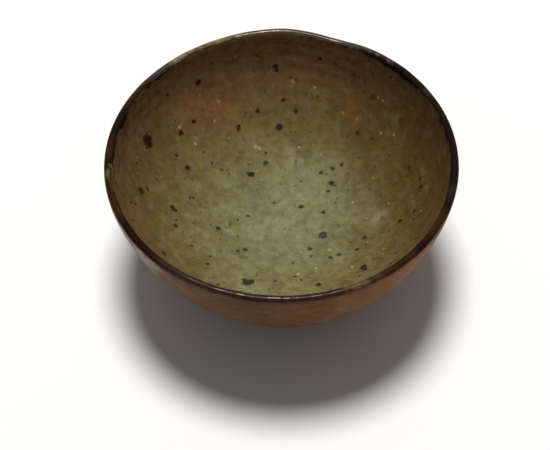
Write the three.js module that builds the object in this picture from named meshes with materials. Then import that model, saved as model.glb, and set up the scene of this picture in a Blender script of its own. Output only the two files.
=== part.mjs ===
// A hand-thrown stoneware tea bowl: a clay body on a luted foot ring, lined and coated with an ash glaze,
// and banded with iron over its lip. Millimetres, +Z up, origin on the table under the middle of the foot.
import * as THREE from "three";

// Overall sizes
const RIM_DIAMETER = 120; // over the glazed lip, before it wanders
const HEIGHT = 54; // from the table to the top of the lip
const FOOT_DIAMETER = 48; // round the top of the foot ring
const FOOT_HEIGHT = 7; // from the table to the underside of the bowl

// Clay
const LIP_THICKNESS = 1.6;
const FLOOR_THICKNESS = 4.8; // in the middle of the floor
const LIP_LEAN = 5; // degrees that the wall leans outwards where it meets the lip
const LIP_REACH = 12.5; // how far the wall keeps that lean below the lip
const BELLY_REACH = 21; // how far the underside runs level beyond the foot before it turns up
const INNER_LIP_REACH = 18; // how far the inner face keeps the wall's lean below the lip
const HOLLOW_REACH = 42; // how far the inner face runs level from its middle before it turns up
const FOOT_RING_WIDTH = 4.6; // across the flat that stands on the table
const FOOT_TAPER = 1.4; // how much the ring draws in from its top to the table
const FOOT_CHAMFER = 0.8; // round the outside of the flat
const LUTING_CLEARANCE = 0.3; // between the ring and the underside that it is luted to

// Glaze
const GLAZE_COAT = 0.35;
const GLAZE_CLEARANCE = 0.3; // between a coat and the clay behind it, and between two coats
const BARE_CLAY = 8; // measured up the wall from the foot ring to where the outer glaze ends
const BAND_OUTSIDE = 1.5; // how far the iron comes down the outside, over the glaze's face from the lip's top
const BAND_INSIDE = 1.6; // and how far it comes down the inside

// How the thrown rim wanders. A wave goes round in whole lobes, and a hump or dip is at one place.
const RIM_WAVES = [
  { lobes: 1, crest: 180, outward: 0.75, upward: 0 },
  { lobes: 2, crest: 48, outward: 0.13, upward: 0 },
  { lobes: 3, crest: 70, outward: 0.07, upward: 0 },
  { lobes: 4, crest: 39, outward: 0.07, upward: 0 },
];
const RIM_HUMPS = [
  { bearing: 89, spread: 22.5, outward: 0, upward: 1.1 },
  { bearing: 71.5, spread: 11, outward: 0, upward: -1.35 },
];

// How finely the round forms are cut
const SEGMENTS = 60;
const WALL_STEPS = 14; // up the outer face of the clay
const COAT_STEPS = 11; // up the outer glaze, which starts above the foot
const INNER_STEPS = 15; // from the lip down to the middle of the floor
const LIP_STEPS = 6;
const PATH_SAMPLES = 160;
const ROUNDING = 1e-9; // millimetres that the sums of distances may be off

const CLAY = new THREE.MeshStandardMaterial({ color: 0x6d5140, roughness: 0.85, metalness: 0 });
const LINING = new THREE.MeshStandardMaterial({ color: 0x7a734c, roughness: 0.4, metalness: 0 });
const COATING = new THREE.MeshStandardMaterial({ color: 0x6b5a49, roughness: 0.35, metalness: 0 });
const IRON = new THREE.MeshStandardMaterial({ color: 0x2b1a14, roughness: 0.2, metalness: 0 });

const coatDepth = GLAZE_CLEARANCE + GLAZE_COAT;
const lipRadius = LIP_THICKNESS / 2;
const footRadius = FOOT_DIAMETER / 2;
const lean = THREE.MathUtils.degToRad(LIP_LEAN);
const lipCentre = new THREE.Vector2(
  RIM_DIAMETER / 2 - coatDepth - lipRadius,
  HEIGHT - coatDepth - lipRadius,
);
const outOfWall = new THREE.Vector2(Math.cos(lean), -Math.sin(lean));
const upTheWall = new THREE.Vector2(Math.sin(lean), Math.cos(lean));

// The outer face of the clay from the foot ring up to the lip, as a curve in radius and height.
function outerWall() {
  const lip = lipCentre.clone().addScaledVector(outOfWall, lipRadius);
  return new THREE.CubicBezierCurve(
    new THREE.Vector2(footRadius, FOOT_HEIGHT),
    new THREE.Vector2(footRadius + BELLY_REACH, FOOT_HEIGHT),
    lip.clone().addScaledVector(upTheWall, -LIP_REACH),
    lip,
  );
}

// The left-hand side of a direction of travel. The clay lies there on the way up the outer face.
function leftOf(direction) {
  return new THREE.Vector2(-direction.y, direction.x);
}

// The inner face of the clay from the lip down to the middle of the floor, as a curve of its own. The wall
// between the two faces grows from the lip to the foot, and is a little thinner in the middle of the floor.
function innerWall() {
  const lip = lipCentre.clone().addScaledVector(outOfWall, -lipRadius);
  const floor = FOOT_HEIGHT + FLOOR_THICKNESS;
  return new THREE.CubicBezierCurve(
    lip,
    lip.clone().addScaledVector(upTheWall, -INNER_LIP_REACH),
    new THREE.Vector2(HOLLOW_REACH, floor),
    new THREE.Vector2(0, floor),
  );
}

// The round of the lip, from the outer face over to the inner one.
function lipArc(steps) {
  const points = [];
  for (let i = 0; i <= steps; i++) {
    const turn = (Math.PI * i) / steps;
    points.push(
      lipCentre
        .clone()
        .addScaledVector(outOfWall, lipRadius * Math.cos(turn))
        .addScaledVector(upTheWall, lipRadius * Math.sin(turn)),
    );
  }
  return points;
}

// The glazed face as one fine line: up the outer face, over the lip and down to the middle of the floor.
// Each point keeps its distance along the line and the direction out of the clay.
function glazedFace() {
  const upOutside = outerWall().getSpacedPoints(PATH_SAMPLES);
  const overLip = lipArc(PATH_SAMPLES).slice(1);
  const downInside = innerWall().getSpacedPoints(PATH_SAMPLES).slice(1);
  const points = [...upOutside, ...overLip, ...downInside];
  const line = [];
  let distance = 0;
  points.forEach((point, i) => {
    const before = points[Math.max(i - 1, 0)];
    const after = points[Math.min(i + 1, points.length - 1)];
    if (i > 0) distance += point.distanceTo(before);
    const outwards = leftOf(after.clone().sub(before).normalize()).negate();
    line.push({ point, distance, outwards });
  });
  line.lipStart = line[PATH_SAMPLES].distance;
  line.lipEnd = line[2 * PATH_SAMPLES].distance;
  line.lipTop = (line.lipStart + line.lipEnd) / 2;
  line.end = distance;
  return line;
}

// The point that lies this far along the line, raised out of the clay by a height.
function raised(line, distance, height) {
  const reached = line.findIndex((sample) => sample.distance >= distance - ROUNDING);
  const next = Math.max(1, reached);
  const a = line[next - 1];
  const b = line[next];
  const share = (distance - a.distance) / (b.distance - a.distance);
  const outwards = a.outwards.clone().lerp(b.outwards, share).normalize();
  return a.point.clone().lerp(b.point, share).addScaledVector(outwards, height);
}

// A stretch of the line in even steps, raised out of the clay.
function stretch(line, from, to, steps, height) {
  const points = [];
  for (let i = 0; i <= steps; i++) {
    points.push(raised(line, from + ((to - from) * i) / steps, height));
  }
  return points;
}

// The share of the rim's wander that a point takes: all of it at the lip, and none at the foot or the axis.
function wanderShare(radius, height) {
  const rise = THREE.MathUtils.smoothstep(height, FOOT_HEIGHT, HEIGHT);
  return (rise * radius) / (RIM_DIAMETER / 2);
}

// How far the rim wanders outwards and upwards at a bearing, in degrees from +X towards +Y.
function wanderAt(bearing) {
  const wander = { outward: 0, upward: 0 };
  const add = (form, size) => {
    wander.outward += form.outward * size;
    wander.upward += form.upward * size;
  };
  for (const wave of RIM_WAVES) {
    add(wave, Math.cos(THREE.MathUtils.degToRad(wave.lobes * (bearing - wave.crest))));
  }
  for (const hump of RIM_HUMPS) {
    const away = THREE.MathUtils.euclideanModulo(bearing - hump.bearing + 180, 360) - 180;
    add(hump, Math.exp(-((away / hump.spread) ** 2)));
  }
  return wander;
}

// Turns a section round the axis and lets it wander as the rim does.
function thrown(section) {
  const geometry = new THREE.LatheGeometry(section, SEGMENTS).rotateX(Math.PI / 2);
  const position = geometry.getAttribute("position");
  const vertex = new THREE.Vector3();
  for (let i = 0; i < position.count; i++) {
    vertex.fromBufferAttribute(position, i);
    const radius = Math.hypot(vertex.x, vertex.y);
    const bearing = THREE.MathUtils.radToDeg(Math.atan2(vertex.y, vertex.x));
    const wander = wanderAt(bearing);
    const share = wanderShare(radius, vertex.z);
    const spread = radius > 0 ? 1 + (wander.outward * share) / radius : 1;
    position.setXYZ(i, vertex.x * spread, vertex.y * spread, vertex.z + wander.upward * share);
  }
  geometry.computeVertexNormals();
  return geometry;
}

// Where a reach down from the lip's top ends on the line. The reach is taken over the glaze's face, which is
// wider round the lip than the clay is, and counts inwards.
function belowLipTop(line, reach) {
  const quarterTurn = (Math.PI / 2) * (lipRadius + coatDepth);
  const roundTheLip = THREE.MathUtils.clamp(reach, -quarterTurn, quarterTurn);
  const downTheWall = reach - roundTheLip;
  return line.lipTop + (roundTheLip * lipRadius) / (lipRadius + coatDepth) + downTheWall;
}

function clayBodySection(line) {
  return [
    new THREE.Vector2(0, FOOT_HEIGHT),
    ...stretch(line, 0, line.lipStart, WALL_STEPS, 0),
    ...stretch(line, line.lipStart, line.lipEnd, LIP_STEPS, 0).slice(1),
    ...stretch(line, line.lipEnd, line.end, INNER_STEPS, 0).slice(1, -1),
    new THREE.Vector2(0, FOOT_HEIGHT + FLOOR_THICKNESS),
  ];
}

// A coat over a stretch of the glazed face: along its own face, and back along the side against the clay.
function coatSection(line, from, to, steps) {
  const face = stretch(line, from, to, steps, coatDepth);
  const back = stretch(line, from, to, steps, GLAZE_CLEARANCE).reverse();
  return [...face, ...back, face[0].clone()];
}

// A coat that ends on the axis, where its face and its back both meet the middle line.
function liningSection(line, from, steps) {
  const face = stretch(line, from, line.end, steps, coatDepth);
  const back = stretch(line, from, line.end, steps, GLAZE_CLEARANCE);
  face.at(-1).x = 0;
  back.at(-1).x = 0;
  return [...back.reverse(), ...face];
}

function footRingSection() {
  const top = FOOT_HEIGHT - LUTING_CLEARANCE;
  const standing = footRadius - FOOT_TAPER;
  return [
    new THREE.Vector2(standing - FOOT_RING_WIDTH, 0),
    new THREE.Vector2(standing - FOOT_CHAMFER, 0),
    new THREE.Vector2(standing, FOOT_CHAMFER),
    new THREE.Vector2(footRadius, top),
    new THREE.Vector2(standing - FOOT_RING_WIDTH - FOOT_TAPER, top),
    new THREE.Vector2(standing - FOOT_RING_WIDTH, 0),
  ];
}

function piece(name, section, material) {
  const mesh = new THREE.Mesh(thrown(section), material);
  mesh.name = name;
  return mesh;
}

function teaBowl() {
  const line = glazedFace();
  const bandStart = belowLipTop(line, -BAND_OUTSIDE);
  const bandEnd = belowLipTop(line, BAND_INSIDE);
  const bowl = new THREE.Group();
  bowl.add(
    piece("clay_body", clayBodySection(line), CLAY),
    piece("foot_ring", footRingSection(), CLAY),
    piece(
      "outer_glaze",
      coatSection(line, BARE_CLAY, bandStart - GLAZE_CLEARANCE, COAT_STEPS),
      COATING,
    ),
    piece("rim_band", coatSection(line, bandStart, bandEnd, LIP_STEPS), IRON),
    piece("inner_glaze", liningSection(line, bandEnd + GLAZE_CLEARANCE, INNER_STEPS), LINING),
  );
  return bowl;
}

export default teaBowl();
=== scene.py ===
"""A hand-thrown stoneware tea bowl, ash-glazed inside and out, with an iron-brown glaze over its lip.

Sizes are in millimetres unless they say otherwise, and every finished mesh is in metres with its place in its
vertices. Bearings are in degrees round the bowl, from +X towards +Y. A blot's depth is a distance along the
clay's face from the top of the lip: inwards and down it counts up from 0, and down the outside below 0.
"""

import logging
import math
from bisect import bisect_right
from dataclasses import dataclass, field
from enum import Enum
from typing import Any, ClassVar, Sequence

import bmesh
import bpy
from mathutils import Euler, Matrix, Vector, noise
from mathutils.geometry import interpolate_bezier

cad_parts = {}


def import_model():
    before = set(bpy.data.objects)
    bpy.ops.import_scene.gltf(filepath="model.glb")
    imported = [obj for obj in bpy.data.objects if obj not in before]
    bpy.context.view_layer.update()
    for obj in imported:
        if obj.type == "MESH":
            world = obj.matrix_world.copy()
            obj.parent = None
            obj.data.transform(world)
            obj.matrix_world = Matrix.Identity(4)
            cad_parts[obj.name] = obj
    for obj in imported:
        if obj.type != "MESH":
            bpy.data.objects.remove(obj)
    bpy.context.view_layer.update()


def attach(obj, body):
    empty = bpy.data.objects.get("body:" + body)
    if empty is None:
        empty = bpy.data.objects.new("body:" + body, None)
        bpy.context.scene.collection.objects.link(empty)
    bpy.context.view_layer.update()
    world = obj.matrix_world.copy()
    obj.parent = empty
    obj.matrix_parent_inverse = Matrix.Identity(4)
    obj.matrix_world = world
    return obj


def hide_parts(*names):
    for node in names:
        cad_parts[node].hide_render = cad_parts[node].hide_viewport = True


LOG = logging.getLogger("tea_bowl")
MM = 0.001
# Points that lie closer than this, in millimetres, are one.
ONE_POINT = 0.001
# Farther from every place on the bowl, in radii, than any blot.
FAR = 1e3
# How many feathers hang from the iron in a radian, and what brings their noise to its whole swing.
FEATHERS = 15.0
FEATHER_SWING = 3.0

# The sockets of a colour mix, which share their names with sockets of other types.
SHARE, UNDER, OVER, LAID = 0, 6, 7, 2
# What makes a range ease in and out.
EASED = {"output": "Result", "interpolation_type": "SMOOTHSTEP"}

Socket = bpy.types.NodeSocket
Tree = bpy.types.NodeTree
# A round blot in the glaze: its bearing, its depth below the lip's top and its width in millimetres.
Blot = tuple[float, float, float]


class Kind(Enum):
    """The kinds of shader node that the finishes and the surround are made of."""

    ATTRIBUTE = "ShaderNodeAttribute"
    BACKGROUND = "ShaderNodeBackground"
    BUMP = "ShaderNodeBump"
    CELLS = "ShaderNodeTexVoronoi"
    CHANNELS = "ShaderNodeSeparateColor"
    LIGHT_PATH = "ShaderNodeLightPath"
    MATH = "ShaderNodeMath"
    MIX = "ShaderNodeMix"
    MIX_SHADER = "ShaderNodeMixShader"
    NOISE = "ShaderNodeTexNoise"
    PLACE = "ShaderNodeTexCoord"
    RAMP = "ShaderNodeValToRGB"
    RANGE = "ShaderNodeMapRange"
    VARIED = "ShaderNodeHueSaturation"
    VECTOR_MATH = "ShaderNodeVectorMath"


class Mark(Enum):
    """The measures that a glazed piece carries for its finish, each a float attribute of its mesh."""

    DEPTH = "depth_below_lip"
    IRON_REACH = "iron_reach"
    IRON_FEATHERS = "iron_feathers"


def linear(hex_colour: str) -> tuple[float, float, float, float]:
    """Turns an sRGB hex colour into linear light.

    Args:
        hex_colour: Six hex digits, red first.

    Returns:
        Linear red, green and blue, and an alpha of 1.
    """
    channels = [int(hex_colour[i : i + 2], 16) / 255 for i in (0, 2, 4)]
    light = [c / 12.92 if c <= 0.04045 else ((c + 0.055) / 1.055) ** 2.4 for c in channels]
    return (light[0], light[1], light[2], 1.0)


def smooth(value: float, low: float, high: float) -> float:
    """Eases from 0 at low to 1 at high.

    Args:
        value: Where to look.
        low: The value that gives 0.
        high: The value that gives 1.

    Returns:
        The eased share.
    """
    share = min(max((value - low) / (high - low), 0.0), 1.0)
    return share * share * (3 - 2 * share)


def bearing_gap(a: float, b: float) -> float:
    """Gives the turn from one bearing to another.

    Args:
        a: The bearing that the turn ends at, in degrees.
        b: The bearing that it starts from, in degrees.

    Returns:
        The turn, from -180 to 180 degrees.
    """
    return (a - b + 180) % 360 - 180


def bell(bearing: float, centre: float, spread: float) -> float:
    """Gives a bell round a bearing.

    Args:
        bearing: Where to look, in degrees.
        centre: The bearing where the bell is highest.
        spread: How far off it has fallen to 1/e, in degrees.

    Returns:
        The bell's height, 1 at its centre.
    """
    return math.exp(-((bearing_gap(bearing, centre) / spread) ** 2))


def even_steps(curve: Sequence[Vector], steps: int) -> list[Vector]:
    """Walks a curve again in even steps.

    Args:
        curve: Closely spaced points.
        steps: How many steps to take.

    Returns:
        One point more than there are steps, the ends kept.
    """
    lengths = [0.0]
    for a, b in zip(curve, curve[1:]):
        lengths.append(lengths[-1] + (b - a).length)
    points = []
    for i in range(steps + 1):
        target = lengths[-1] * i / steps
        high = min(bisect_right(lengths, target), len(lengths) - 1)
        share = (target - lengths[high - 1]) / (lengths[high] - lengths[high - 1])
        points.append(curve[high - 1].lerp(curve[high], share))
    return points


@dataclass(frozen=True)
class Wander:
    """How the rim wanders from a true circle.

    Attributes:
        waves: Lobes, crest bearing and outward size of each slow wave.
        humps: Bearing, spread and upward size of each rise, or dip where it is below 0.
    """

    waves: tuple[tuple[int, float, float], ...] = (
        (1, 180, 0.75), (2, 48, 0.13), (3, 70, 0.07), (4, 39, 0.07),
    )
    humps: tuple[tuple[float, float, float], ...] = ((89, 22.5, 1.1), (71.5, 11, -1.35))

    def at(self, bearing: float) -> tuple[float, float]:
        """Gives the rim's wander at a bearing.

        Args:
            bearing: Degrees round the bowl.

        Returns:
            How far it goes outward and upward.
        """
        outward = 0.0
        for lobes, crest, size in self.waves:
            outward += size * math.cos(math.radians(lobes * (bearing - crest)))
        upward = 0.0
        for centre, spread, size in self.humps:
            upward += size * bell(bearing, centre, spread)
        return outward, upward


@dataclass(frozen=True)
class Corner:
    """A corner of a piece's section, before it is turned.

    Attributes:
        place: Radius and height.
        outwards: The way out of the clay there.
        distance: How far along the bowl's section line it lies.
        relief: The share of the throwing marks that it takes.
        slide: The share of the glaze line's waver that it takes, up the wall.
    """

    place: Vector
    outwards: Vector
    distance: float
    relief: float = 0.0
    slide: float = 0.0


@dataclass
class ThrownSection:
    """The bowl's section: one line up the outside, over the lip and down to the middle of the floor.

    Attributes:
        rim_radius: Over the glazed lip.
        height: To the top of the glazed lip.
        foot_radius: Round the top of the foot ring.
        foot_height: From the table to the underside of the bowl.
        lip_thickness: Of the clay.
        floor_thickness: Of the clay, in the middle of the floor.
        lip_lean: Degrees that the wall leans outwards below the lip.
        lip_reach: How far the outer face keeps that lean.
        belly_reach: How far the underside runs level beyond the foot.
        inner_lip_reach: How far the inner face keeps the lip's lean.
        hollow_reach: How far the inner face runs level from its middle.
        coat: The glaze's thickness.
        clearance: Between the glaze and the clay behind it.
        band_outside: How far the lip's band comes down the outside, over the face from the lip's top.
        band_inside: How far it comes down the inside.
        wander: How the rim wanders.
        samples: Steps in each face of the line.
        lip_samples: Steps round the lip.
        fineness: Points of the drawn curve to each step.
        places: The line's points.
        outwards: The way out of the clay at each point.
        distances: How far along the line each point lies.
        lip_start: Where the round of the lip starts, along the line.
        lip_end: Where it ends.
    """

    rim_radius: float = 60.0
    height: float = 54.0
    foot_radius: float = 24.0
    foot_height: float = 7.0
    lip_thickness: float = 1.6
    floor_thickness: float = 4.8
    lip_lean: float = 5.0
    lip_reach: float = 12.5
    belly_reach: float = 21.0
    inner_lip_reach: float = 18.0
    hollow_reach: float = 42.0
    coat: float = 0.35
    clearance: float = 0.3
    band_outside: float = 1.5
    band_inside: float = 1.6
    wander: Wander = field(default_factory=Wander)
    samples: int = 300
    lip_samples: int = 60
    fineness: int = 4
    places: list[Vector] = field(init=False)
    outwards: list[Vector] = field(init=False)
    distances: list[float] = field(init=False)
    lip_start: float = field(init=False)
    lip_end: float = field(init=False)

    def __post_init__(self) -> None:
        """Walks the line once and keeps its points, its ways out of the clay and its distances."""
        self.places = self._outer_face() + self._lip_round()[1:] + self._inner_face()[1:]
        self.distances = [0.0]
        for before, after in zip(self.places, self.places[1:]):
            self.distances.append(self.distances[-1] + (after - before).length)
        self.outwards = []
        last = len(self.places) - 1
        for i in range(last + 1):
            step = self.places[min(i + 1, last)] - self.places[max(i - 1, 0)]
            self.outwards.append(Vector((step.y, -step.x)).normalized())
        self.lip_start = self.distances[self.samples]
        self.lip_end = self.distances[self.samples + self.lip_samples]

    @property
    def lip_top(self) -> float:
        """Where the top of the lip lies along the line."""
        return (self.lip_start + self.lip_end) / 2

    @property
    def end(self) -> float:
        """The line's whole length."""
        return self.distances[-1]

    @property
    def face(self) -> float:
        """How far the glaze's face stands out of the clay."""
        return self.clearance + self.coat

    @property
    def lip_radius(self) -> float:
        """The radius of the clay's round over the lip."""
        return self.lip_thickness / 2

    @property
    def lip_centre(self) -> Vector:
        """The centre of the lip's round."""
        inset = self.face + self.lip_radius
        return Vector((self.rim_radius - inset, self.height - inset))

    @property
    def up_the_wall(self) -> Vector:
        """The way up the wall below the lip."""
        lean = math.radians(self.lip_lean)
        return Vector((math.sin(lean), math.cos(lean)))

    @property
    def out_of_wall(self) -> Vector:
        """The way out of the wall below the lip, on the outside."""
        up = self.up_the_wall
        return Vector((up.y, -up.x))

    def _outer_face(self) -> list[Vector]:
        """Draws the clay's outer face.

        Returns:
            Its points from the foot ring up to the lip.
        """
        foot = Vector((self.foot_radius, self.foot_height))
        belly = foot + Vector((self.belly_reach, 0))
        lip = self.lip_centre + self.out_of_wall * self.lip_radius
        shoulder = lip - self.up_the_wall * self.lip_reach
        curve = interpolate_bezier(foot, belly, shoulder, lip, self.fineness * self.samples)
        return even_steps(curve, self.samples)

    def _lip_round(self) -> list[Vector]:
        """Draws the round of the lip.

        Returns:
            Its points from the outer face over to the inner one.
        """
        points = []
        for i in range(self.lip_samples + 1):
            turn = math.pi * i / self.lip_samples
            way = self.out_of_wall * math.cos(turn) + self.up_the_wall * math.sin(turn)
            points.append(self.lip_centre + way * self.lip_radius)
        return points

    def _inner_face(self) -> list[Vector]:
        """Draws the clay's inner face.

        Returns:
            Its points from the lip down to the middle of the floor.
        """
        lip = self.lip_centre - self.out_of_wall * self.lip_radius
        shoulder = lip - self.up_the_wall * self.inner_lip_reach
        floor = self.foot_height + self.floor_thickness
        hollow = Vector((self.hollow_reach, floor))
        middle = Vector((0, floor))
        curve = interpolate_bezier(lip, shoulder, hollow, middle, self.fineness * self.samples)
        return even_steps(curve, self.samples)

    def below_lip_top(self, reach: float) -> float:
        """Finds where a reach down from the lip's top ends, taken over the glaze's face.

        Args:
            reach: How far down, inwards; outwards where it is below 0.

        Returns:
            The distance along the line.
        """
        glazed = self.lip_radius + self.face
        quarter_turn = math.pi / 2 * glazed
        round_the_lip = min(max(reach, -quarter_turn), quarter_turn)
        return self.lip_top + round_the_lip * self.lip_radius / glazed + reach - round_the_lip

    def face_depth(self, distance: float) -> float:
        """Gives how far a place lies below the lip's top, over the glaze's face.

        Args:
            distance: How far along the line.

        Returns:
            The depth, the same way inside and outside.
        """
        below = abs(distance - self.lip_top)
        quarter_turn = math.pi / 2 * self.lip_radius
        return below + min(below, quarter_turn) * self.face / self.lip_radius

    def corner(self, distance: float, raised: float, relief: float = 0.0, slide: float = 0.0) -> Corner:
        """Gives a corner on the line, raised out of the clay.

        Args:
            distance: How far along the line.
            raised: How far out of the clay.
            relief: The share of the throwing marks that it takes.
            slide: The share of the glaze line's waver that it takes.

        Returns:
            The corner.
        """
        high = min(max(bisect_right(self.distances, distance), 1), len(self.distances) - 1)
        low = high - 1
        step = self.distances[high] - self.distances[low]
        share = min(max((distance - self.distances[low]) / step, 0.0), 1.0)
        outwards = self.outwards[low].lerp(self.outwards[high], share).normalized()
        place = self.places[low].lerp(self.places[high], share) + outwards * raised
        if distance >= self.end:
            place.x = 0
        return Corner(place, outwards, distance, relief, slide)

    def wandered(self, place: Vector, bearing: float) -> Vector:
        """Lets a place wander as the rim does: all of it at the lip, none at the foot or on the axis.

        Args:
            place: Radius and height.
            bearing: Degrees round the bowl.

        Returns:
            The place in the bowl, in metres.
        """
        outward, upward = self.wander.at(bearing)
        share = smooth(place.y, self.foot_height, self.height) * place.x / self.rim_radius
        radius = place.x + outward * share
        turn = math.radians(bearing)
        return Vector((radius * math.cos(turn), radius * math.sin(turn), place.y + upward * share)) * MM


@dataclass(frozen=True)
class Layer:
    """Blots of one colour that lie in the glaze.

    Attributes:
        colour: Six hex digits.
        strength: How much of the glaze's own colour they hide.
        soft: The share of a blot's radius over which it fades, to each side of its edge.
        blots: Where they lie.
    """

    colour: str
    strength: float
    soft: float
    blots: tuple[Blot, ...]

    def drawn(self, tree: Tree, place: Socket, section: ThrownSection) -> tuple[Socket, str]:
        """Draws the layer, and gives its share and its colour."""
        return blotted(tree, place, section, self.blots, self.strength, self.soft), self.colour


@dataclass(frozen=True)
class IronFlow:
    """How far the lip's iron has run down one face.

    Attributes:
        mean: Its usual reach below the lip's top, over the face.
        feathers: How far its edge hangs down or draws up.
        runs: Bearing, spread and size of each place where it has run further, or less where that is below 0.
    """

    mean: float
    feathers: float
    runs: tuple[tuple[float, float, float], ...]

    def measures(self, bearing: float) -> dict[Mark, float]:
        """Gives the value of each mark of the flow at a bearing."""
        run = sum(size * bell(bearing, centre, spread) for centre, spread, size in self.runs)
        return {Mark.IRON_REACH: self.mean + run, Mark.IRON_FEATHERS: self.feathers}


@dataclass(frozen=True)
class Kiln:
    """What the firing left on the bowl.

    Attributes:
        blushes: Broad tones in the lining, and where the clay's iron burns through it.
        lining_grit: The larger spots and flecks in the lining.
        outer_blushes_and_sheen: Tones on the outside: an orange-brown patch in front, and pale patches high
            on the left that are partly the glaze's own tone and partly painted reflection.
        outer_grit: Spots in the outer glaze.
        iron_inside: The lip's iron, inside.
        iron_outside: The lip's iron, outside.
    """

    blushes: tuple[Layer, ...] = (
        Layer("503e1c", 0.76, 0.9, ((12, 18, 68),)),
        Layer("8b6446", 0.6, 0.9, ((112, 6, 50), (78, 5, 28))),
        Layer("7a4d28", 0.45, 0.7, ((124, 22, 13), (118, 26, 9), (58, 27, 10), (2, 20, 4))),
        Layer("8c8b69", 0.4, 0.9, ((40, 64, 30), (95, 77, 18), (246, 40, 20), (275, 42, 14))),
        Layer("92906c", 0.35, 0.9, ((66, 53, 13), (52, 55, 8), (82, 48, 7), (1, 46, 9))),
        Layer("565032", 0.3, 0.9, ((126, 63, 9), (181, 37, 9), (200, 61, 9), (230, 53, 7), (98, 31, 15))),
    )
    lining_grit: tuple[Layer, ...] = (
        Layer("2a1307", 0.93, 0.45, (
            (156, 17.4, 3.8), (156, 19.2, 3.4), (154.5, 18.2, 2.7), (124, 13, 2.4), (93, 14.5, 2.2),
            (92.5, 16, 1.7), (140, 26, 2.1), (132, 25.5, 1.7), (177, 23.5, 2.8), (149, 37, 2.0),
            (208, 29, 2.0), (76, 9, 1.3), (90, 27, 1.4), (187, 18, 1.4),
        )),
        Layer("2d220e", 0.65, 0.7, ((52, 17, 2.3), (44, 31, 2.2), (36, 18, 2.8), (62, 12, 2.0))),
        Layer("1f1a06", 0.87, 0.5, (
            (113, 35, 1.9), (102, 30.5, 1.7), (84, 31, 1.7), (52, 32, 1.7), (6, 25, 1.6),
            (176, 38.2, 2.2), (176.8, 39.4, 1.9), (164, 43.5, 1.4), (187, 39.5, 1.7), (182, 56, 1.7),
            (59, 67, 1.8), (318, 67, 2.0), (347, 49.5, 1.8), (336, 50.5, 1.7), (354, 35.5, 1.7),
            (356, 29, 1.6), (321, 58, 1.7), (327, 56, 1.7), (294, 49, 1.9), (50, 45, 1.7), (54, 48, 1.7),
            (48, 53, 2.0), (103, 50, 1.8), (214, 63, 1.6), (216, 46, 1.4), (280, 57, 1.4),
            (263, 54.5, 1.4), (60, 51.5, 1.6), (28, 63, 1.6), (326, 31.5, 1.6), (212, 60.5, 1.3),
        )),
        Layer("241c22", 0.92, 0.2, ((92, 37, 2.6), (322, 43, 2.7), (321, 41.5, 1.6))),
        Layer("231d17", 0.92, 0.25, ((116, 53, 2.4), (118, 52.6, 1.9))),
        Layer("2f2830", 0.92, 0.2, ((350, 65, 3.2),)),
        Layer("544a5c", 0.7, 0.5, ((350, 65.2, 1.3),)),
        Layer("2b2d22", 0.94, 0.18, ((244, 49.6, 3.1), (246, 51.2, 2.7), (242, 50.4, 2.3))),
        Layer("bdb48c", 0.5, 0.6, (
            (108, 8, 1.0), (118, 23, 1.0), (123, 29, 0.9), (139, 24, 1.3), (137, 32.5, 1.1),
            (107, 43, 1.4), (105, 43.8, 1.1), (77, 21, 1.1), (50, 16, 1.1), (47.5, 16.2, 0.9),
            (36, 24, 0.9), (42, 27, 1.0), (48, 57.5, 1.1), (330, 60.5, 1.1), (284, 58, 1.1),
            (302, 58, 0.9), (320, 47.5, 0.9), (22, 52, 0.8), (86, 20, 0.9), (80, 44, 0.8),
        )),
    )
    outer_blushes_and_sheen: tuple[Layer, ...] = (
        # Pale patches high on the left of the outside: partly the glaze's own tone, partly painted reflection
        # of the pale surround at the grazing edge.
        Layer("a19482", 0.75, 0.8, ((205, -3, 26), (221, -2, 11))),
        Layer("6e3f1c", 0.6, 0.8, ((281, -6, 14), (276, -10, 10))),
    )
    outer_grit: tuple[Layer, ...] = (
        Layer("1c140c", 0.85, 0.4, ((269, -28, 1.4), (252, -17, 1.0), (305, -13, 1.0))),
    )
    iron_inside: IronFlow = IronFlow(1.5, 1.6, (
        (45, 14, 1.7), (10, 5, 0.9), (345, 14, 1.6), (95, 22, -0.5), (140, 6, 0.8), (163, 5, 2.0),
        (178, 5, 2.2), (190, 4, -2.2), (218, 10, 0.8),
    ))
    iron_outside: IronFlow = IronFlow(1.35, 0.6, (
        (190, 5, -0.5), (228, 8, 0.5), (262, 6, 0.2), (300, 7, -0.3), (330, 12, 0.5), (20, 20, 0.8),
        (120, 25, 0.8),
    ))


@dataclass(frozen=True)
class ThrowingMarks:
    """The potter's rings and the glaze's slow unevenness.

    Attributes:
        ring_spacing: Between one ring and the next, along the section.
        ring_height: From a ring's crest to the mean.
        lump_size: Across a slow lump.
        lump_height: From its crest to the mean.
        seed: Where in the noise the piece lies.
        slowness: How fine the rings' own unevenness is, where the lumps are 1.
        ring_drift: How many rings' spacings a ring can drift out of its place.
        ring_mean: The share of their height that the rings have on average.
    """

    ring_spacing: float
    ring_height: float
    lump_size: float
    lump_height: float
    seed: float
    slowness: float = 0.4
    ring_drift: float = 0.9
    ring_mean: float = 0.45

    def height(self, distance: float, place: Vector, bearing: float) -> float:
        """Gives the height of the marks.

        Args:
            distance: How far along the section.
            place: The place in the bowl, in metres.
            bearing: Degrees round the bowl.

        Returns:
            The height out of the face.
        """
        at = place / (self.lump_size * MM) + Vector((self.seed, 0, 0))
        slow = at * self.slowness
        turn = distance / self.ring_spacing + bearing / 360 + self.ring_drift * noise.noise(slow)
        strength = self.ring_mean + noise.noise(slow + Vector((0, self.seed, 0)))
        ring = self.ring_height * max(strength, 0.0) * math.sin(math.tau * turn)
        return ring + self.lump_height * noise.noise(at)


def placed(name: str, data: bpy.types.ID) -> bpy.types.Object:
    """Puts a mesh, a lamp or a camera into the scene.

    Args:
        name: The object's name.
        data: What it shows.

    Returns:
        The object, at the origin.
    """
    item = bpy.data.objects.new(name, data)
    bpy.context.scene.collection.objects.link(item)
    return item


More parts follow.
